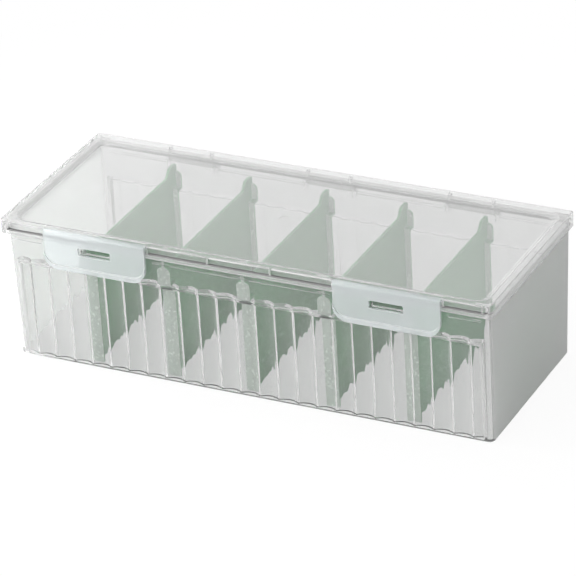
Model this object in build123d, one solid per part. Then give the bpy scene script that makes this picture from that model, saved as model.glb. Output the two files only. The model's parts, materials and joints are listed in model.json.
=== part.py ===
from build123d import *
import os
from math import cos, radians, sin, sqrt

# Card storage box: a tapered, translucent body, a hinged lid with two latch flaps,
# and five lift-out dividers. Lengths are in millimetres. X runs along the box,
# Y from front (-) to back (+), Z up, and the origin is the middle of the base.

# Body
rim_length = 296.6
rim_depth = 115.6
body_height = 81.5
end_taper = 1.2
side_taper = 3.0
body_wall = 1.5
floor_thickness = 2.0
body_corner = 4.0
base_edge = 2.5
bead_drop = 4.9
bead_height = 1.2
bead_proud = 0.8
bead_round = 0.5
bead_flap_gap = 3.3
bead_corner_gap = 5.0

# Flutes of the long walls, and the ledge on top of them
ledge_height = 62.6
flute_pitch = 11.75
flute_count = 23
flute_peak = 51.2
flute_depth = 2.0
flute_end_length = 7.9
flute_end_round = 2.0

# Lid
lid_gap = 0.3
band_wall = 1.4
band_drop = 1.5
band_height = 3.0
channel_height = 3.6
channel_depth = 2.2
channel_wall = 1.5
channel_end_wall = 2.1
flange_thickness = 1.4
lid_corner = 2.5
frame_width = 4.7
recess_depth = 2.0
recess_run = 3.4
recess_corner = 9.0
panel_thickness = 1.4
gate_radius = 3.3
gate_depth = 0.3
rib_thickness = 1.2
middle_rib_x = 19.2
corner_rib_gap = 5.0

# Lid hinges
hinge_count = 3
hinge_end_gap = 47.5
hinge_width = 28.0
hinge_outset = 0.55
hinge_drop = 1.7
barrel_radius = 1.9
ear_radius = 2.4
ear_thickness = 2.2
ear_foot = 7.5
ear_slope = 35.0
lug_slope = 15.0
pin_radius = 1.1
pin_reach = 1.6
pin_play = 0.08
side_gap = 0.3
notch_clearance = 0.5

# Latch flaps
flap_end_gap = 28.9
flap_width = 63.6
flap_drop = 17.0
flap_thickness = 1.8
flap_gap = 0.3
flap_corner = 8.5
flap_shoulder = 2.2
flap_axis_inset = 0.6
flap_roll = 1.0
flap_pin_radius = 0.7
flap_pin_play = 0.06
flap_pin_reach = 1.1
lip_height = 2.8
lip_proud = 0.85
slot_width = 20.6
slot_height = 5.0
slot_corner = 0.8
seat_chamfer = 0.8

# Catch teeth that the flaps' slots close over
tooth_drop = 6.1
tooth_height = 3.1
tooth_land = 1.2
tooth_side_gap = 0.8
tooth_below_gap = 0.4
tooth_face_gap = 0.3

# Dividers
divider_count = 5
divider_pitch = 49.2
plate_thickness = 1.8
plate_rise = 10.4
foot_gap = 0.4
flute_gap = 0.5
edge_width = 8.0
edge_thickness = 1.4
ear_gap = 0.3
ear_rise = 10.9
ear_round = 3.0
tip_rise = 15.4
tip_length = 6.3
tip_round = 1.0
tip_slope = 6.5

# Worked out from the sizes above
half_rim_x = rim_length / 2
half_rim_y = rim_depth / 2
lid_half_x = half_rim_x + lid_gap + band_wall
lid_half_y = half_rim_y + lid_gap + band_wall
band_bottom = body_height - band_drop
band_top = band_bottom + band_height
flange_bottom = band_top + channel_height
lid_top = flange_bottom + flange_thickness
bead_bottom = body_height - bead_drop
tooth_bottom = body_height - tooth_drop
hinge_y = lid_half_y + hinge_outset
hinge_z = band_bottom - hinge_drop
flap_centre = lid_half_x - flap_end_gap - flap_width / 2
flap_bottom = body_height - flap_drop
flap_axis_y = lid_half_y - flap_axis_inset
flap_axis_z = flange_bottom
flap_inner_y = lid_half_y + flap_gap
flap_outer_y = flap_inner_y + flap_thickness
slot_bottom = tooth_bottom - tooth_below_gap
tooth_width = slot_width - 2 * tooth_side_gap
hinge_end_x = lid_half_x - hinge_end_gap - hinge_width / 2
hinge_places = [(2 * i / (hinge_count - 1) - 1) * hinge_end_x for i in range(hinge_count)]
divider_places = [(i - (divider_count - 1) / 2) * divider_pitch for i in range(divider_count)]
overcut = 1.0


def half_x(z, inset=0.0):
    """Half the body's outside length at height z, less an inset."""
    return half_rim_x - end_taper * (1 - z / body_height) - inset


def half_y(z, inset=0.0):
    """Half the body's outside depth at height z, less an inset."""
    return half_rim_y - side_taper * (1 - z / body_height) - inset


def tapered(z_low, z_high, inset, corner):
    """Block that follows the body's taper from one height to another."""
    sections = [
        Pos(0, 0, z) * RectangleRounded(2 * half_x(z, inset), 2 * half_y(z, inset), corner)
        for z in (z_low, z_high)
    ]
    return loft(sections, ruled=True)


def slab(half_length, half_depth, corner, z_low, z_high):
    """Upright block with round corners, centred on the box."""
    outline = RectangleRounded(2 * half_length, 2 * half_depth, corner)
    return extrude(Pos(0, 0, z_low) * outline, z_high - z_low)


def block(x_low, x_high, y_low, y_high, z_low, z_high):
    """Rectangular block between two corners."""
    size = (x_high - x_low, y_high - y_low, z_high - z_low)
    middle = ((x_low + x_high) / 2, (y_low + y_high) / 2, (z_low + z_high) / 2)
    return Pos(*middle) * Box(*size)


def along_x(outline, x_low, x_high):
    """Carry an outline, drawn as (y, z), along X."""
    return extrude(Plane.YZ.offset(x_low) * outline, x_high - x_low, dir=(1, 0, 0))


def rod(radius, y, z, x_low, x_high):
    """Round bar along X."""
    return along_x(Pos(y, z) * Circle(radius), x_low, x_high)


def flute_line(x):
    """Distance of a flute's face from the middle, x from the flute's own centre."""
    radius = ((flute_pitch / 2) ** 2 + flute_depth**2) / (2 * flute_depth)
    return flute_peak + radius - sqrt(radius**2 - x**2)


def flute_bank(shift, end_x, end_round, z_low, z_high):
    """Everything outside the back wall's fluted line, a row of arcs that meet in cusps."""
    half_pitch = flute_pitch / 2
    cusp_x = flute_count * half_pitch
    peak_y = flute_peak + shift
    cusp_y = peak_y + flute_depth
    crest_x = cusp_x + half_pitch
    deep_y = half_rim_y + overcut
    with BuildSketch() as bank:
        with BuildLine():
            for side in (-1, 1):
                Line((side * end_x, deep_y), (side * end_x, peak_y + end_round))
                RadiusArc(
                    (side * end_x, peak_y + end_round),
                    (side * (end_x - end_round), peak_y),
                    side * end_round,
                )
                Line((side * (end_x - end_round), peak_y), (side * crest_x, peak_y))
                ThreePointArc(
                    (side * crest_x, peak_y),
                    (side * (crest_x - half_pitch / 2), shift + flute_line(half_pitch / 2)),
                    (side * cusp_x, cusp_y),
                )
            for i in range(flute_count):
                left = -cusp_x + i * flute_pitch
                ThreePointArc(
                    (left, cusp_y),
                    (left + half_pitch, peak_y),
                    (left + flute_pitch, cusp_y),
                )
            Line((-end_x, deep_y), (end_x, deep_y))
        make_face()
    return extrude(Pos(0, 0, z_low) * bank.sketch, z_high - z_low)


def bead_run(x_low, x_high, side):
    """Bead on a long wall between two places, side -1 at the front and 1 at the back."""
    middle_z = bead_bottom + bead_height / 2
    root_y = half_y(middle_z, body_wall / 2)
    outline = RectangleRounded(x_high - x_low, bead_height, bead_round)
    outline = Plane.XZ.offset(-side * root_y) * (Pos((x_low + x_high) / 2, middle_z) * outline)
    return extrude(outline, body_wall / 2 + bead_proud, dir=(0, side, 0))


def body_ears(centre_x):
    """Two ears that hold a lid hinge's pins, on webs that run down the back wall."""
    web_top = band_bottom - side_gap
    wall_y = half_y(web_top, body_wall / 2)
    foot_y = half_y(web_top - ear_foot, body_wall / 2)
    slope = radians(ear_slope)
    tangent = (hinge_y + ear_radius * cos(slope), hinge_z - ear_radius * sin(slope))
    web = Polygon(
        (foot_y, web_top - ear_foot),
        tangent,
        (hinge_y, hinge_z),
        (hinge_y, web_top),
        (wall_y, web_top),
        align=None,
    )
    outline = web + Pos(hinge_y, hinge_z) * Circle(ear_radius)
    outline -= Pos(hinge_y, hinge_z) * Circle(pin_radius + pin_play)
    inner = hinge_width / 2 + side_gap
    outer = inner + ear_thickness
    return [
        along_x(outline, centre_x - outer, centre_x - inner),
        along_x(outline, centre_x + inner, centre_x + outer),
    ]


def catch_tooth(centre_x):
    """Ramped tooth on the front wall, flat below, for a latch flap's slot."""
    face_y = -(flap_inner_y - tooth_face_gap)
    root_y = -half_y(tooth_bottom, body_wall / 2)
    outline = Polygon(
        (root_y, tooth_bottom),
        (root_y, tooth_bottom + tooth_height),
        (face_y, tooth_bottom + tooth_land),
        (face_y, tooth_bottom),
        align=None,
    )
    return along_x(outline, centre_x - tooth_width / 2, centre_x + tooth_width / 2)


def make_body():
    """Tapered tray with thin fluted long walls, beads under the rim, teeth and hinge ears."""
    outer = tapered(0, body_height, 0, body_corner)
    outer = fillet(outer.faces().sort_by(Axis.Z)[0].edges(), base_edge)
    cavity = tapered(floor_thickness, body_height + overcut, body_wall, body_corner - body_wall)
    end_x = flute_count * flute_pitch / 2 + flute_end_length
    bank = flute_bank(0, end_x, flute_end_round, -overcut, ledge_height)
    outer_end_x = end_x - body_wall
    outer_end_round = flute_end_round - body_wall
    shelf_bottom = ledge_height - body_wall
    groove = flute_bank(body_wall, outer_end_x, outer_end_round, floor_thickness, shelf_bottom)
    cavity -= bank
    cavity -= mirror(bank, Plane.XZ)
    body = outer - cavity
    body -= groove
    body -= mirror(groove, Plane.XZ)

    bead_end = half_rim_x - bead_corner_gap
    flap_room = flap_width / 2 + bead_flap_gap
    body += bead_run(flap_room - flap_centre, flap_centre - flap_room, -1)
    body += bead_run(flap_centre + flap_room, bead_end, -1)
    body += bead_run(-bead_end, -flap_centre - flap_room, -1)
    ear_middle = hinge_width / 2 + side_gap + ear_thickness / 2
    back_stops = [-bead_end] + [x + s * ear_middle for x in hinge_places for s in (-1, 1)] + [bead_end]
    for low, high in zip(back_stops[::2], back_stops[1::2]):
        body += bead_run(low, high, 1)
    for x in hinge_places:
        for ear in body_ears(x):
            body += ear
    for side in (-1, 1):
        body += catch_tooth(side * flap_centre)
    return body


def rim_channel():
    """Grooves in the lid's front and back, between its band and its flange, with ribs left in."""
    end_x = lid_half_x - channel_end_wall
    deep_y = lid_half_y + overcut
    inner_y = lid_half_y - channel_depth
    channel = block(-end_x, end_x, -deep_y, deep_y, band_top, flange_bottom)
    channel -= block(-end_x, end_x, -inner_y, inner_y, band_top, flange_bottom)
    flap_edge = flap_width / 2 + side_gap + rib_thickness / 2
    front = [middle_rib_x, flap_centre - flap_edge, flap_centre + flap_edge, lid_half_x - corner_rib_gap]
    for x in front:
        for side in (-1, 1):
            channel -= rib(side * x, -1)
    for x in hinge_places:
        for side in (-1, 1):
            channel -= rib(x + side * (hinge_width - rib_thickness) / 2, 1)
    return channel


def rib(x, side):
    """Upright rib that fills the channel at x, on the front (-1) or the back (1)."""
    near = lid_half_y - channel_depth - channel_wall / 2
    y_low, y_high = sorted((side * near, side * lid_half_y))
    half = rib_thickness / 2
    return block(x - half, x + half, y_low, y_high, band_top - overcut, flange_bottom + overcut)


def lid_lug(centre_x):
    """Hinge lug under the lid's back edge: a tab, a barrel and a pin at each end."""
    half = hinge_width / 2
    inner_y = hinge_y - barrel_radius
    slope = radians(lug_slope)
    shoulder = (hinge_y + barrel_radius * cos(slope), hinge_z + barrel_radius * sin(slope))
    tab = Polygon(
        (inner_y, hinge_z),
        (inner_y, band_bottom + band_drop / 2),
        (lid_half_y - band_wall / 2, band_top),
        (lid_half_y, band_top),
        shoulder,
        (hinge_y, hinge_z),
        align=None,
    )
    outline = tab + Pos(hinge_y, hinge_z) * Circle(barrel_radius)
    lug = along_x(outline, centre_x - half, centre_x + half)
    pins = rod(pin_radius, hinge_y, hinge_z, centre_x - half - pin_reach, centre_x + half + pin_reach)
    return lug + pins


def latch_seat(side):
    """Cut that seats a latch flap: a notch in the flange and a hole for each pin."""
    x_low = side * flap_centre - flap_width / 2 - side_gap
    x_high = side * flap_centre + flap_width / 2 + side_gap
    back_y = -(flap_axis_y - flap_roll - flap_gap)
    low_z = flap_axis_z - flap_roll - flap_gap
    notch = Polygon(
        (-lid_half_y - overcut, low_z),
        (back_y, low_z),
        (back_y, lid_top - seat_chamfer),
        (back_y + seat_chamfer + overcut, lid_top + overcut),
        (-lid_half_y - overcut, lid_top + overcut),
        align=None,
    )
    seat = along_x(notch, x_low, x_high)
    hole = flap_pin_radius + flap_pin_play
    seat += rod(hole, -flap_axis_y, flap_axis_z, x_low - rib_thickness, x_high + rib_thickness)
    return seat


def make_lid():
    """Lid: a band over the rim, a channelled edge, a sunken panel and three hinge lugs."""
    lid = slab(lid_half_x, lid_half_y, lid_corner, band_bottom, lid_top)
    band_x = half_rim_x + lid_gap
    band_y = half_rim_y + lid_gap
    band_cut = slab(band_x, band_y, body_corner + lid_gap, band_bottom, body_height)
    wall_x = lid_half_x - channel_wall
    wall_y = lid_half_y - channel_depth - channel_wall
    hollow = slab(wall_x, wall_y, body_corner, body_height, flange_bottom)

    slope_length = sqrt(recess_depth**2 + recess_run**2)
    drop = panel_thickness * (slope_length / recess_run - 1)
    shift = drop * recess_run / recess_depth
    top_x = lid_half_x - frame_width
    top_y = lid_half_y - frame_width
    panel_top = lid_top - recess_depth
    panel_bottom = panel_top - panel_thickness
    rise = (flange_bottom - panel_bottom) * recess_run / recess_depth
    low_x = top_x - recess_run + shift
    low_y = top_y - recess_run + shift
    pan = loft(
        [
            Pos(0, 0, panel_bottom) * RectangleRounded(2 * low_x, 2 * low_y, recess_corner - recess_run),
            Pos(0, 0, flange_bottom)
            * RectangleRounded(2 * (low_x + rise), 2 * (low_y + rise), recess_corner - recess_run + rise),
        ],
        ruled=True,
    )
    over = overcut * recess_run / recess_depth
    recess = loft(
        [
            Pos(0, 0, panel_top)
            * RectangleRounded(
                2 * (top_x - recess_run), 2 * (top_y - recess_run), recess_corner - recess_run
            ),
            Pos(0, 0, lid_top + overcut)
            * RectangleRounded(2 * (top_x + over), 2 * (top_y + over), recess_corner + over),
        ],
        ruled=True,
    )
    lid -= band_cut
    lid -= hollow - pan
    lid -= recess
    lid -= Pos(0, 0, panel_top - gate_depth / 2) * Cylinder(gate_radius, gate_depth)
    lid -= rim_channel()
    for side in (-1, 1):
        lid -= latch_seat(side)
    notch_top = hinge_z + ear_radius + notch_clearance
    for x in hinge_places:
        for side in (-1, 1):
            near = hinge_width / 2
            far = near + side_gap + ear_thickness + side_gap
            x_low, x_high = sorted((x + side * near, x + side * far))
            lid -= block(x_low, x_high, band_y - lid_gap, hinge_y, band_bottom - overcut, notch_top)
        lid += lid_lug(x)
    return lid


def flap_outline(shift=0.0):
    """Front view of a latch flap, drawn as (x, z): square above, round corners below."""
    top = flap_axis_z
    bottom = flap_bottom + shift
    outline = Pos(0, (top + bottom) / 2) * Rectangle(flap_width, top - bottom)
    corners = outline.vertices().sort_by(Axis.Y)[:2]
    return fillet(corners, flap_corner)


def make_flap(side):
    """Latch flap: a plate with a rolled top, two pins, a slot and a grip lip below."""
    half = flap_width / 2
    front_view = Plane.XZ * flap_outline()
    depth = 2 * (flap_outer_y + lip_proud)
    trim = extrude(front_view, depth / 2, both=True)
    roll_top = flap_axis_z + flap_roll
    profile = Polygon(
        (-flap_outer_y, flap_bottom),
        (-flap_outer_y, roll_top),
        (-flap_axis_y, roll_top),
        (-flap_axis_y, flap_axis_z - flap_roll),
        (-flap_inner_y, flap_axis_z - flap_roll),
        (-flap_inner_y, flap_bottom),
        align=None,
    )
    shoulder = profile.vertices().group_by(Axis.Y)[-1].sort_by(Axis.X)[0]
    profile = fillet(shoulder, flap_shoulder)
    profile += Pos(-flap_axis_y, flap_axis_z) * Circle(flap_roll)
    flap = along_x(profile, -half, half)
    keep = trim + block(-half, half, -flap_outer_y - lip_proud, 0, flap_axis_z, roll_top + overcut)
    flap &= keep

    crescent = Plane.XZ.offset(flap_outer_y) * (flap_outline() - flap_outline(lip_height))
    lip = extrude(crescent, lip_proud, dir=(0, -1, 0))
    clip_top = flap_bottom + flap_corner + lip_height / 2
    lip &= block(-half, half, -flap_outer_y - lip_proud, -flap_outer_y, flap_bottom, clip_top)
    flap += lip

    slot = Pos(0, slot_bottom + slot_height / 2) * RectangleRounded(slot_width, slot_height, slot_corner)
    flap -= extrude(Plane.XZ * slot, depth, both=True)
    flap += rod(flap_pin_radius, -flap_axis_y, flap_axis_z, -half - flap_pin_reach, half + flap_pin_reach)
    return Pos(side * flap_centre, 0, 0) * flap


def make_divider(x):
    """Lift-out divider: a thin plate with a flange down each end and ears over the ledge."""
    foot = floor_thickness + foot_gap
    edge_out = flute_peak - flute_gap
    ear_out = half_y(ledge_height, body_wall) - ear_gap
    plate_top = ledge_height + plate_rise
    tip_top = ledge_height + tip_rise
    tip_in = ear_out - tip_length
    slope_in = tip_in - tip_slope
    with BuildSketch() as plate_view:
        with BuildLine():
            for side in (-1, 1):
                Line((0, foot), (side * edge_out, foot))
                Line((side * edge_out, foot), (side * edge_out, ledge_height))
                Line((side * edge_out, ledge_height), (side * ear_out, ledge_height))
                Line((side * ear_out, ledge_height), (side * ear_out, tip_top - tip_round))
                RadiusArc(
                    (side * ear_out, tip_top - tip_round),
                    (side * (ear_out - tip_round), tip_top),
                    -side * tip_round,
                )
                Line((side * (ear_out - tip_round), tip_top), (side * tip_in, tip_top))
                Bezier(
                    (side * tip_in, tip_top),
                    (side * (tip_in - tip_slope / 2), tip_top),
                    (side * (slope_in + tip_slope / 2), plate_top),
                    (side * slope_in, plate_top),
                )
                Line((side * slope_in, plate_top), (0, plate_top))
        make_face()
    half = plate_thickness / 2
    divider = along_x(plate_view.sketch, x - half, x + half)

    ear_view = Pos(x, ledge_height + ear_rise / 2) * Rectangle(edge_width, ear_rise)
    ear_view = fillet(ear_view.vertices().sort_by(Axis.Y)[-2:], ear_round)
    x_low = x - edge_width / 2
    x_high = x + edge_width / 2
    shelf_top = ledge_height + edge_thickness
    for side in (-1, 1):
        y_low, y_high = sorted((side * (edge_out - edge_thickness), side * edge_out))
        divider += block(x_low, x_high, y_low, y_high, foot, shelf_top)
        y_low, y_high = sorted((side * (edge_out - edge_thickness), side * ear_out))
        divider += block(x_low, x_high, y_low, y_high, ledge_height, shelf_top)
        ear_plane = Plane.XZ.offset(-side * (ear_out - edge_thickness))
        divider += extrude(ear_plane * ear_view, edge_thickness, dir=(0, side, 0))
    return divider


os.makedirs("parts", exist_ok=True)
export_step(make_body(), "parts/box_body.step")
export_step(make_lid(), "parts/lid.step")
export_step(make_flap(-1), "parts/latch_flap_left.step")
export_step(make_flap(1), "parts/latch_flap_right.step")
for number, place in enumerate(divider_places, start=1):
    export_step(make_divider(place), f"parts/divider_{number}.step")
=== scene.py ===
import json
import math

import bmesh
import bpy
import numpy as np
from mathutils import Matrix, Vector


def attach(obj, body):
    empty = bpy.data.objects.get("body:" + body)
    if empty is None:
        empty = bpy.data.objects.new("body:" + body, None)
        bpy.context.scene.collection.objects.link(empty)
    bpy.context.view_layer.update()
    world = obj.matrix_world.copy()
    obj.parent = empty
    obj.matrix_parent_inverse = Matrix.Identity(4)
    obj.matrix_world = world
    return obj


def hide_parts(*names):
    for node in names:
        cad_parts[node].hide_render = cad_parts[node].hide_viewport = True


bl_info = {
    "name": "Card storage box",
    "version": (1, 0, 0),
    "blender": (4, 5, 0),
    "location": "3D View > Sidebar > Card Box",
    "description": "Finishes a translucent card storage box with moulded plastic surfaces",
    "category": "Add Mesh",
}

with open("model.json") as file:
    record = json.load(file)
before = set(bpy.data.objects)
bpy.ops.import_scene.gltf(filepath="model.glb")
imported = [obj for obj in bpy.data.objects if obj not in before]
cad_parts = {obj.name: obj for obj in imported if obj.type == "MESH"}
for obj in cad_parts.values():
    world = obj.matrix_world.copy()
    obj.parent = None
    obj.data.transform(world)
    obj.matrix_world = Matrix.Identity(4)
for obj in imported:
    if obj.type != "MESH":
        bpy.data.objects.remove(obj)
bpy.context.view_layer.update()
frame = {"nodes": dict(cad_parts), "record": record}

# The frame is in metres: X along the box, Y from the latched front to the hinged back, Z up
MM = 0.001
X_AXIS = 0
Y_AXIS = 1

# Nodes of the frame, and the body that each one belongs to
DIVIDERS = sorted(name for name in frame["nodes"] if name.startswith("divider_"))
FLAPS = ("latch_flap_left", "latch_flap_right")
BODY_OF = {node: body for body, nodes in frame["record"]["behaviour"]["bodies"].items() for node in nodes}

# Where the body's end walls and the dividers' end flanges lie, and how squarely their faces look out
END_WALL_FROM = 140 * MM
FLANGE_FROM = 40 * MM
SQUARE_ON = 0.9

# Joining of a node's loose triangles, and the largest face that still belongs to a curve
JOIN_DISTANCE = 0.002 * MM
FLAT_ANGLE = math.radians(0.6)
LARGEST_CURVED_FACE = 150 * MM**2

# Rounding of the edges
SHARP_ANGLE = math.radians(25)
ROUND_SEGMENTS = 2

# Refraction of polypropylene, and the weaker one of walls too thin to shift what lies behind them
PLASTIC_INDEX = 1.49
THIN_WALL_INDEX = 1.15
GLOSS = 0.4

# Roughness of each kind of mould face, at its smoothest and its roughest
POLISHED = (0.04, 0.06)
SATIN = (0.25, 0.28)
EDGE_SATIN = (0.25, 0.35)
FROSTED = (0.5, 0.6)

# Slow wave of the walls. Real mould grain is finer than this, and is drawn as coarse as it needs to show
WALL_WAVE = 30 * MM
DIVIDER_WAVE = 24 * MM
WAVE_HEIGHT = 0.01 * MM
GRAIN = 1.6 * MM
GRAIN_HEIGHT = 0.0005 * MM
EDGE_GRAIN_HEIGHT = 0.001 * MM
FROST_GRAIN = 0.8 * MM

# Share of light that edges scatter, and that frosted walls let through and glow with
EDGE_HAZE = 0.9
FROST_THROUGH = 0.3
FROST_GLOW = 0.6

# Shares of white in the colour of edges, a painted highlight, and of the thin flanges, partly their own
# paler thin plastic and partly painted light
CLEAR_EDGE_HIGHLIGHT_WHITE = 0.6
FLAP_EDGE_HIGHLIGHT_WHITE = 0.8
DIVIDER_EDGE_HIGHLIGHT_WHITE = 0.65
FLANGE_WHITE_THIN_AND_PAINTED_LIGHT = 0.7

# Studio light: where most of it comes from, and its level there and opposite
LIGHT_FROM = Vector((-0.8, -0.5, 0.35)).normalized()
LIGHT_LOW = 0.1
LIGHT_HIGH = 1.75

# Softbox at the left: its place, what it faces, its side and its power in watts
KEY_PLACE = (-0.55, -0.12, 0.22)
KEY_TARGET = (-0.1, 0, 0.04)
KEY_SIZE = 0.4
KEY_POWER = 3.0

# Light passes many walls, and is caught inside each one, before it leaves the box
LIGHT_BOUNCES = 40

# Floor: its gap under the base, and how its own white takes over from the shadow farther out
FLOOR_GAP = 0.4 * MM
SHADOW_FROM = 0.25
SHADOW_TO = 0.5
WHITE_NEAR = 0.92

# Camera, as fitted to the corners of the lid and base
CAMERA_TURN = math.radians(27.251)
CAMERA_RISE = math.radians(27.930)
CAMERA_ROLL = math.radians(-3.412)
CAMERA_DISTANCE = 2.1461
CAMERA_TARGET = Vector((0, 0, 0.045))
CAMERA_LENS_MM = 237.9
CAMERA_SENSOR_MM = 36
CAMERA_SHIFT = (-0.0016, -0.00815)
CAMERA_REACH = 100


def linear(hex_colour):
    """An sRGB hex colour as linear red, green, blue and an alpha of one."""
    parts = np.array([int(hex_colour[i : i + 2], 16) for i in (0, 2, 4)]) / 255
    low = parts / 12.92
    high = ((parts + 0.055) / 1.055) ** 2.4
    return tuple(float(v) for v in np.where(parts <= 0.04045, low, high)) + (1.0,)


def paler(tint, share):
    """A tint mixed with a share of white."""
    return tuple(value + (1 - value) * share for value in tint[:3]) + (1.0,)


class CardBoxLooks(bpy.types.PropertyGroup):
    """Finishes and colours of the moulded plastic."""

    clear_tint: bpy.props.FloatVectorProperty(
        name="Clear tint",
        description="Colour that light takes on at each surface of natural polypropylene",
        subtype="COLOR",
        size=4,
        min=0,
        max=1,
        default=linear("EAEAEA"),
    )
    flap_tint: bpy.props.FloatVectorProperty(
        name="Flap tint",
        description="Colour that light takes on at each surface of the latch flaps",
        subtype="COLOR",
        size=4,
        min=0,
        max=1,
        default=linear("EEF2F3"),
    )
    green_tint: bpy.props.FloatVectorProperty(
        name="Divider tint",
        description="Colour of the pale green polypropylene of the dividers",
        subtype="COLOR",
        size=4,
        min=0,
        max=1,
        default=linear("8CC99A"),
    )
    body_haze: bpy.props.FloatProperty(
        name="Body haze",
        description="Share of the light that the body's thin walls scatter at each surface",
        min=0,
        max=1,
        default=0.10,
    )
    lid_haze: bpy.props.FloatProperty(
        name="Lid haze",
        description="Share of the light that the lid scatters at each surface",
        min=0,
        max=1,
        default=0.22,
    )
    flap_haze: bpy.props.FloatProperty(
        name="Flap haze",
        description="Share of the light that the latch flaps scatter at each surface",
        min=0,
        max=1,
        default=0.30,
    )
    green_haze: bpy.props.FloatProperty(
        name="Divider haze",
        description="Share of the light that the green polypropylene scatters at each surface",
        min=0,
        max=1,
        default=0.85,
    )
    flange_haze: bpy.props.FloatProperty(
        name="Flange haze",
        description="Share of the light that the dividers' thin flanges scatter at each surface",
        min=0,
        max=1,
        default=0.65,
    )
    edge_round: bpy.props.FloatProperty(
        name="Edge rounding",
        description="Radius that the mould leaves on edges",
        subtype="DISTANCE",
        unit="LENGTH",
        min=0,
        default=0.25 * MM,
    )
    flap_edge_round: bpy.props.FloatProperty(
        name="Flap edge rounding",
        description="Radius on the edges of the latch flaps, which fingers touch",
        subtype="DISTANCE",
        unit="LENGTH",
        min=0,
        default=0.7 * MM,
    )
    floor_size: bpy.props.FloatProperty(
        name="Floor size",
        description="Length of each side of the pale floor",
        subtype="DISTANCE",
        unit="LENGTH",
        min=1,
        default=6.0,
    )


def add_node(tree, kind, settings=None, **inputs):
    """Add one shader node. Settings are its properties.

    Inputs are values or sockets to link, each by the input's name or, as i0, i1, by its number.
    """
    node = tree.nodes.new(kind)
    for key, value in (settings or {}).items():
        setattr(node, key, value)
    for key, value in inputs.items():
        numbered = key[0] == "i" and key[1:].isdigit()
        socket = node.inputs[int(key[1:]) if numbered else key.replace("_", " ")]
        if isinstance(value, bpy.types.NodeSocket):
            tree.links.new(value, socket)
        else:
            socket.default_value = value
    return node


def new_material(name):
    """An empty node material and its tree."""
    material = bpy.data.materials.new(name)
    material.use_nodes = True
    material.node_tree.nodes.clear()
    return material, material.node_tree


def mould_grain(tree, place, size, roughness):
    """Fine grain of a mould face, and a roughness that follows it from smoothest to roughest."""
    grain = add_node(tree, "ShaderNodeTexNoise", Vector=place, Scale=1 / size, Detail=2.0)
    spread = add_node(tree, "ShaderNodeMapRange", Value=grain.outputs["Fac"], From_Min=0.3, From_Max=0.7,
                      To_Min=roughness[0], To_Max=roughness[1])
    return grain.outputs["Fac"], spread.outputs["Result"]


def moulded_plastic(name, tint, haze, roughness, wave=WALL_WAVE, grain_height=GRAIN_HEIGHT, gloss=GLOSS):
    """Translucent injection-moulded plastic.

    Light passes through with a little scatter at each surface. A slow wave follows the
    shrinkage of the thin walls, and a fine grain breaks up the reflections. The walls are so thin
    that they hardly shift what lies behind them, so the refraction is weak and a coat gives the
    gloss of the plastic.
    """
    material, tree = new_material(name)
    place = add_node(tree, "ShaderNodeTexCoord").outputs["Object"]
    slow = add_node(tree, "ShaderNodeTexNoise", Vector=place, Scale=1 / wave, Detail=1.0)
    grain, spread = mould_grain(tree, place, GRAIN, roughness)
    waved = add_node(tree, "ShaderNodeBump", Height=slow.outputs["Fac"], Distance=WAVE_HEIGHT)
    grained = add_node(tree, "ShaderNodeBump", Height=grain, Distance=grain_height,
                       Normal=waved.outputs["Normal"])
    shader = add_node(
        tree,
        "ShaderNodeBsdfPrincipled",
        Base_Color=tint,
        Roughness=spread,
        IOR=THIN_WALL_INDEX,
        Transmission_Weight=1 - haze,
        Coat_Weight=gloss,
        Coat_IOR=PLASTIC_INDEX,
        Coat_Roughness=roughness[0],
        Normal=grained.outputs["Normal"],
    )
    add_node(tree, "ShaderNodeOutputMaterial", Surface=shader.outputs["BSDF"])
    return material


def clear_plastic(name, tint, haze):
    """Natural polypropylene, injection moulded and polished: clear, with a slight milky haze."""
    return moulded_plastic(name, tint, haze, POLISHED)


def highlight_edge_plastic(name, tint):
    """A moulded edge, paler than its faces as a painted highlight: its small rounding gathers light from
    all sides and shows as a milky line.
    """
    return moulded_plastic(name, tint, EDGE_HAZE, EDGE_SATIN, grain_height=EDGE_GRAIN_HEIGHT)


def green_plastic(name, tint, haze):
    """Pale green polypropylene, injection moulded with a satin face: cloudy and soft."""
    return moulded_plastic(name, tint, haze, SATIN, wave=DIVIDER_WAVE, gloss=0.0)


def grained_plastic(name, tint):
    """Natural polypropylene with a grained mould face: frosted, and it glows with the light behind it."""
    material, tree = new_material(name)
    place = add_node(tree, "ShaderNodeTexCoord").outputs["Object"]
    _, spread = mould_grain(tree, place, FROST_GRAIN, FROSTED)
    face = add_node(tree, "ShaderNodeBsdfPrincipled", Base_Color=tint, Roughness=spread,
                    IOR=PLASTIC_INDEX, Transmission_Weight=FROST_THROUGH)
    glow = add_node(tree, "ShaderNodeBsdfTranslucent", Color=tint)
    both = add_node(tree, "ShaderNodeMixShader", Fac=FROST_GLOW, i1=face.outputs["BSDF"],
                    i2=glow.outputs["BSDF"])
    add_node(tree, "ShaderNodeOutputMaterial", Surface=both.outputs["Shader"])
    return material


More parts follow.
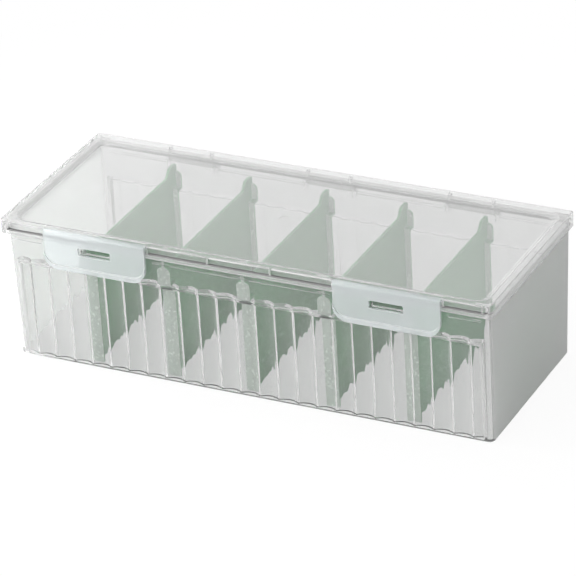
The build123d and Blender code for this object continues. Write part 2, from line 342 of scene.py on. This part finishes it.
def softened_copy(node, name, materials, edge_round, far_axis=X_AXIS, far_from=0.0):
    """A copy of a moulded part with its flat faces joined up and its edges rounded as by the mould.

    The first material is the faces', the second the rounded edges'. A third, if there is one,
    goes on the faces that look along one axis from farther out on it than a given distance.
    """
    source = frame["nodes"][node]
    mesh = source.data.copy()
    mesh.name = name
    mesh.materials.clear()
    for material in materials:
        mesh.materials.append(material)

    work = bmesh.new()
    work.from_mesh(mesh)
    bmesh.ops.remove_doubles(work, verts=work.verts, dist=JOIN_DISTANCE)
    bmesh.ops.dissolve_degenerate(work, edges=work.edges, dist=JOIN_DISTANCE)
    bmesh.ops.dissolve_limit(work, angle_limit=FLAT_ANGLE, verts=work.verts, edges=work.edges)
    for face in work.faces:
        face.smooth = face.calc_area() < LARGEST_CURVED_FACE
        is_far = abs(face.calc_center_median()[far_axis]) > far_from
        looks_out = abs(face.normal[far_axis]) > SQUARE_ON
        # The third material goes on the dividers' flanges, paler partly as thin plastic and partly as
        # painted light, and on the body's frosted end walls
        face.material_index = 2 if len(materials) > 2 and is_far and looks_out else 0
    work.to_mesh(mesh)
    work.free()

    piece = bpy.data.objects.new(name, mesh)
    bpy.context.scene.collection.objects.link(piece)
    bevel = piece.modifiers.new("rounded_edges", "BEVEL")
    bevel.width = edge_round
    bevel.segments = ROUND_SEGMENTS
    bevel.limit_method = "ANGLE"
    bevel.angle_limit = SHARP_ANGLE
    bevel.use_clamp_overlap = True
    bevel.harden_normals = True
    # The rounded edges take the second material, which is paler than the faces as a painted highlight
    bevel.material = 1
    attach(piece, BODY_OF[node])
    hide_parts(node)
    return piece


class CARDBOX_OT_mould_body(bpy.types.Operator):
    """Finish the tapered body with its fluted walls, bead, teeth and hinge ears."""

    bl_idname = "cardbox.mould_body"
    bl_label = "Mould body"

    def execute(self, context):
        looks = context.scene.card_box_looks
        materials = (
            clear_plastic("body_polypropylene", looks.clear_tint, looks.body_haze),
            # The edges' paler colour is a painted highlight
            highlight_edge_plastic("body_edge_highlight_polypropylene", paler(looks.clear_tint, CLEAR_EDGE_HIGHLIGHT_WHITE)),
            grained_plastic("grained_polypropylene", looks.clear_tint),
        )
        piece = softened_copy(
            "box_body",
            "moulded_body",
            materials,
            looks.edge_round,
            far_axis=X_AXIS,
            far_from=END_WALL_FROM,
        )
        return {"FINISHED"}


class CARDBOX_OT_mould_lid(bpy.types.Operator):
    """Finish the lid with its channelled edge, sunken panel and hinge lugs."""

    bl_idname = "cardbox.mould_lid"
    bl_label = "Mould lid"

    def execute(self, context):
        looks = context.scene.card_box_looks
        materials = (
            clear_plastic("lid_polypropylene", looks.clear_tint, looks.lid_haze),
            # The edges' paler colour is a painted highlight
            highlight_edge_plastic("lid_edge_highlight_polypropylene", paler(looks.clear_tint, CLEAR_EDGE_HIGHLIGHT_WHITE)),
        )
        piece = softened_copy("lid", "moulded_lid", materials, looks.edge_round)
        return {"FINISHED"}


class CARDBOX_OT_mould_flaps(bpy.types.Operator):
    """Finish both latch flaps."""

    bl_idname = "cardbox.mould_flaps"
    bl_label = "Mould latch flaps"

    def execute(self, context):
        looks = context.scene.card_box_looks
        materials = (
            clear_plastic("flap_polypropylene", looks.flap_tint, looks.flap_haze),
            # The edges' paler colour is a painted highlight
            highlight_edge_plastic("flap_edge_highlight_polypropylene", paler(looks.flap_tint, FLAP_EDGE_HIGHLIGHT_WHITE)),
        )
        for node in FLAPS:
            piece = softened_copy(node, "moulded_" + node, materials, looks.flap_edge_round)
        return {"FINISHED"}


class CARDBOX_OT_mould_dividers(bpy.types.Operator):
    """Finish the green dividers, with their thin end flanges paler than their plates, partly as thin
    plastic and partly as painted light on their faces that look to the front and back.
    """

    bl_idname = "cardbox.mould_dividers"
    bl_label = "Mould dividers"

    def execute(self, context):
        looks = context.scene.card_box_looks
        # The flanges' paler tint is partly their thin plastic and partly painted light on their faces
        # that look to the front and back
        flange_tint_thin_and_painted_light = paler(looks.green_tint, FLANGE_WHITE_THIN_AND_PAINTED_LIGHT)
        materials = (
            green_plastic("green_polypropylene", looks.green_tint, looks.green_haze),
            # The edges' paler colour is a painted highlight
            highlight_edge_plastic("green_edge_highlight_polypropylene", paler(looks.green_tint, DIVIDER_EDGE_HIGHLIGHT_WHITE)),
            green_plastic("green_flange_thin_and_painted_light_polypropylene", flange_tint_thin_and_painted_light, looks.flange_haze),
        )
        for node in DIVIDERS:
            piece = softened_copy(
                node,
                "moulded_" + node,
                materials,
                looks.edge_round,
                far_axis=Y_AXIS,
                far_from=FLANGE_FROM,
            )
        return {"FINISHED"}


def seen_ray(tree):
    """One for what the camera sees, straight, mirrored or through plastic, and zero for bounced light."""
    path = add_node(tree, "ShaderNodeLightPath")
    shiny = add_node(tree, "ShaderNodeMath", {"operation": "MAXIMUM"},
                     i0=path.outputs["Is Camera Ray"], i1=path.outputs["Is Glossy Ray"])
    through = add_node(tree, "ShaderNodeMath", {"operation": "MAXIMUM"},
                       i0=shiny.outputs["Value"], i1=path.outputs["Is Transmission Ray"])
    direct = add_node(tree, "ShaderNodeMath", {"operation": "LESS_THAN"},
                      i0=path.outputs["Diffuse Depth"], i1=0.5)
    seen = add_node(tree, "ShaderNodeMath", {"operation": "MULTIPLY"},
                    i0=through.outputs["Value"], i1=direct.outputs["Value"])
    return seen.outputs["Value"]


def studio_world():
    """Even studio light, brightest from the front left and above, and plain white where it is seen."""
    world = bpy.data.worlds.new("studio")
    world.use_nodes = True
    tree = world.node_tree
    tree.nodes.clear()
    place = add_node(tree, "ShaderNodeTexCoord").outputs["Generated"]
    toward = add_node(tree, "ShaderNodeVectorMath", {"operation": "DOT_PRODUCT"}, i0=place, i1=LIGHT_FROM)
    level = add_node(tree, "ShaderNodeMapRange", Value=toward.outputs["Value"], From_Min=-1, From_Max=1,
                     To_Min=LIGHT_LOW, To_Max=LIGHT_HIGH)
    fill = add_node(tree, "ShaderNodeBackground", Color=(1, 1, 1, 1), Strength=level.outputs["Result"])
    seen = add_node(tree, "ShaderNodeBackground", Color=(1, 1, 1, 1), Strength=1.0)
    both = add_node(tree, "ShaderNodeMixShader", i0=seen_ray(tree), i1=fill.outputs["Background"],
                    i2=seen.outputs["Background"])
    add_node(tree, "ShaderNodeOutputWorld", Surface=both.outputs["Shader"])
    bpy.context.scene.world = world


def floor_material():
    """Seamless white studio paper: matt, with the object's soft shadow kept near it."""
    material, tree = new_material("studio_paper")
    place = add_node(tree, "ShaderNodeTexCoord").outputs["Object"]
    distance = add_node(tree, "ShaderNodeVectorMath", {"operation": "LENGTH"}, i0=place)
    far = add_node(tree, "ShaderNodeMapRange", Value=distance.outputs["Value"], From_Min=SHADOW_FROM,
                   From_Max=SHADOW_TO, To_Min=WHITE_NEAR, To_Max=1.0)
    share = add_node(tree, "ShaderNodeMath", {"operation": "MULTIPLY"},
                     i0=far.outputs["Result"], i1=seen_ray(tree))
    paper = add_node(tree, "ShaderNodeBsdfDiffuse", Color=linear("F4F4F4"))
    glow = add_node(tree, "ShaderNodeEmission", Color=(1, 1, 1, 1), Strength=1.0)
    both = add_node(tree, "ShaderNodeMixShader", i0=share.outputs["Value"], i1=paper.outputs["BSDF"],
                    i2=glow.outputs["Emission"])
    add_node(tree, "ShaderNodeOutputMaterial", Surface=both.outputs["Shader"])
    return material


def add_floor(size):
    """A flat square of paper just under the base."""
    half = size / 2
    corners = np.array([(-half, -half), (half, -half), (half, half), (-half, half)])
    points = np.column_stack([corners, np.full(4, -FLOOR_GAP)])
    mesh = bpy.data.meshes.new("studio_floor")
    mesh.from_pydata(points.tolist(), [], [(0, 1, 2, 3)])
    mesh.materials.append(floor_material())
    floor = bpy.data.objects.new("studio_floor", mesh)
    bpy.context.scene.collection.objects.link(floor)


def add_softbox(name, position, target, size, power):
    """A square area lamp that faces a point on the object."""
    lamp = bpy.data.lights.new(name, "AREA")
    lamp.size = size
    lamp.energy = power
    holder = bpy.data.objects.new(name, lamp)
    bpy.context.scene.collection.objects.link(holder)
    holder.location = position
    aim = Vector(target) - Vector(position)
    holder.rotation_euler = aim.to_track_quat("-Z", "Y").to_euler()


def add_camera():
    """A long lens at the photograph's viewing angle, rolled a little about its own axis."""
    camera = bpy.data.cameras.new("camera")
    camera.lens = CAMERA_LENS_MM
    camera.sensor_width = CAMERA_SENSOR_MM
    camera.shift_x, camera.shift_y = CAMERA_SHIFT
    camera.clip_end = CAMERA_REACH
    back = Vector((
        math.sin(CAMERA_TURN) * math.cos(CAMERA_RISE),
        -math.cos(CAMERA_TURN) * math.cos(CAMERA_RISE),
        math.sin(CAMERA_RISE),
    ))
    right = Vector((0, 0, 1)).cross(back).normalized()
    up = back.cross(right)
    rolled_right = math.cos(CAMERA_ROLL) * right + math.sin(CAMERA_ROLL) * up
    rolled_up = math.cos(CAMERA_ROLL) * up - math.sin(CAMERA_ROLL) * right
    turn = Matrix((rolled_right, rolled_up, back)).transposed().to_4x4()
    holder = bpy.data.objects.new("camera", camera)
    bpy.context.scene.collection.objects.link(holder)
    holder.matrix_world = Matrix.Translation(CAMERA_TARGET + back * CAMERA_DISTANCE) @ turn
    bpy.context.scene.camera = holder


class CARDBOX_OT_set_stage(bpy.types.Operator):
    """Set the camera, the studio light, the pale floor and the softbox."""

    bl_idname = "cardbox.set_stage"
    bl_label = "Set stage"

    def execute(self, context):
        scene = context.scene
        add_camera()
        studio_world()
        add_floor(scene.card_box_looks.floor_size)
        add_softbox("key_softbox", KEY_PLACE, KEY_TARGET, KEY_SIZE, KEY_POWER)
        scene.view_settings.view_transform = "Standard"
        scene.cycles.max_bounces = LIGHT_BOUNCES
        scene.cycles.transmission_bounces = LIGHT_BOUNCES
        scene.cycles.glossy_bounces = LIGHT_BOUNCES
        scene.cycles.diffuse_bounces = LIGHT_BOUNCES
        return {"FINISHED"}


class CARDBOX_PT_panel(bpy.types.Panel):
    """Sidebar panel with the finishes and the steps that make them."""

    bl_idname = "CARDBOX_PT_panel"
    bl_label = "Card Box"
    bl_space_type = "VIEW_3D"
    bl_region_type = "UI"
    bl_category = "Card Box"

    def draw(self, context):
        looks = context.scene.card_box_looks
        for name in CardBoxLooks.__annotations__:
            self.layout.prop(looks, name)
        for step in STEPS:
            self.layout.operator(step.bl_idname)


STEPS = (
    CARDBOX_OT_set_stage,
    CARDBOX_OT_mould_body,
    CARDBOX_OT_mould_lid,
    CARDBOX_OT_mould_flaps,
    CARDBOX_OT_mould_dividers,
)
CLASSES = (CardBoxLooks, *STEPS, CARDBOX_PT_panel)


def register():
    """Add the classes and the settings on the scene."""
    for item in CLASSES:
        bpy.utils.register_class(item)
    bpy.types.Scene.card_box_looks = bpy.props.PointerProperty(type=CardBoxLooks)


def unregister():
    """Take the settings and the classes away again."""
    del bpy.types.Scene.card_box_looks
    for item in reversed(CLASSES):
        bpy.utils.unregister_class(item)


def main():
    """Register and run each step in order."""
    register()
    for step in STEPS:
        group, action = step.bl_idname.split(".")
        getattr(getattr(bpy.ops, group), action)()


if __name__ == "__main__":
    main()
